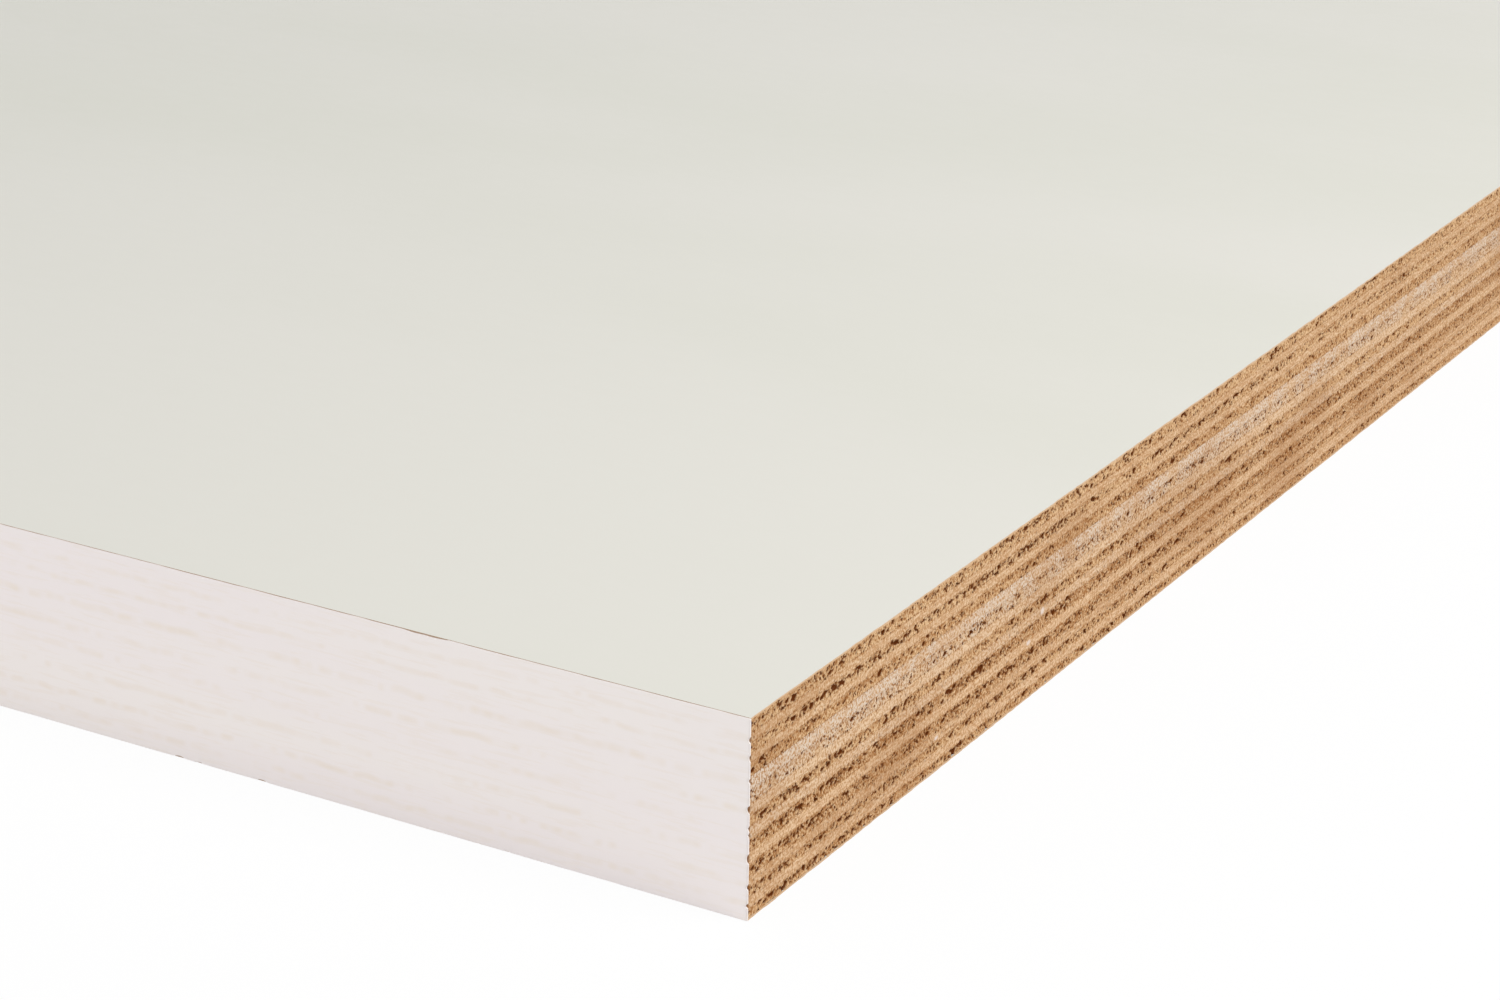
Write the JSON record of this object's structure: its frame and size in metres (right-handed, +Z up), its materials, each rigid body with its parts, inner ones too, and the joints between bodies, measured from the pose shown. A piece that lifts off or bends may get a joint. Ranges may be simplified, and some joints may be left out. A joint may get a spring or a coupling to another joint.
{
  "type": "plywood sheet",
  "caption": "Flat sheet of film-faced plywood, glued up from cross-laid veneers, with sealed long edges and raw sawn ends.",
  "frame": {"origin": "centre of the bottom face", "axes": "+X along the sheet's length, +Y across its width, +Z up through its thickness"},
  "size_m": [2.44, 1.22, 0.024],
  "materials": {
    "long_grain_veneer": "raw sawn end grain",
    "cross_grain_veneer": "raw sawn long grain",
    "face_film": "satin resin film",
    "edge_seal": "matt sealing coat"
  },
  "bodies": {
    "root": {"ply_01_face": "long_grain_veneer", "ply_02_crossband": "cross_grain_veneer", "ply_03_longband": "long_grain_veneer", "ply_04_crossband": "cross_grain_veneer", "ply_05_longband": "long_grain_veneer", "ply_06_crossband": "cross_grain_veneer", "ply_07_longband": "long_grain_veneer", "ply_08_crossband": "cross_grain_veneer", "ply_09_centre": "long_grain_veneer", "ply_10_crossband": "cross_grain_veneer", "ply_11_longband": "long_grain_veneer", "ply_12_crossband": "cross_grain_veneer", "ply_13_longband": "long_grain_veneer", "ply_14_crossband": "cross_grain_veneer", "ply_15_longband": "long_grain_veneer", "ply_16_crossband": "cross_grain_veneer", "ply_17_back": "long_grain_veneer", "film_top": "face_film", "film_bottom": "face_film", "edge_seal_front": "edge_seal", "edge_seal_back": "edge_seal"}
  },
  "joints": []
}
